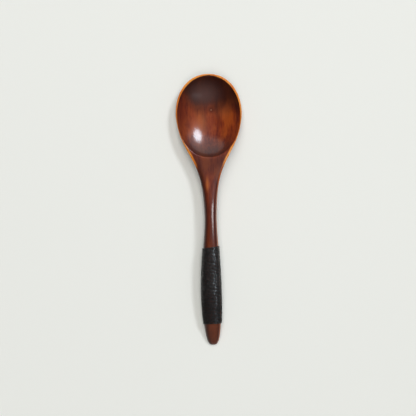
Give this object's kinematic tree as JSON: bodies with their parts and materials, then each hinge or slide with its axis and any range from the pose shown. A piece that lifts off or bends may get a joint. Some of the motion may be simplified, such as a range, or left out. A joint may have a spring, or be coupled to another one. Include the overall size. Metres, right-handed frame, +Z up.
{
  "type": "wooden spoon",
  "caption": "Lacquered wooden spoon with an oval bowl, a slim arched neck and a grip wound with black waxed thread, lying on its belly and the handle's end.",
  "frame": {"origin": "on the table under the middle of the spoon's box, midway between the bowl's front and the handle's end", "axes": "+Y from the handle towards the bowl's front, +Z up out of the bowl's hollow, +X to the right of someone looking along +Y"},
  "size_m": [0.0438, 0.18, 0.0162],
  "materials": {
    "lacquered_wood": "dark red-brown clear lacquer, glossy, worn thin to orange along the rim",
    "waxed_thread": "black waxed twisted thread, slightly shiny"
  },
  "bodies": {
    "root": {"spoon_body": "lacquered_wood", "grip_winding": "waxed_thread", "start_tail": "waxed_thread", "finish_tail": "waxed_thread"}
  },
  "joints": []
}
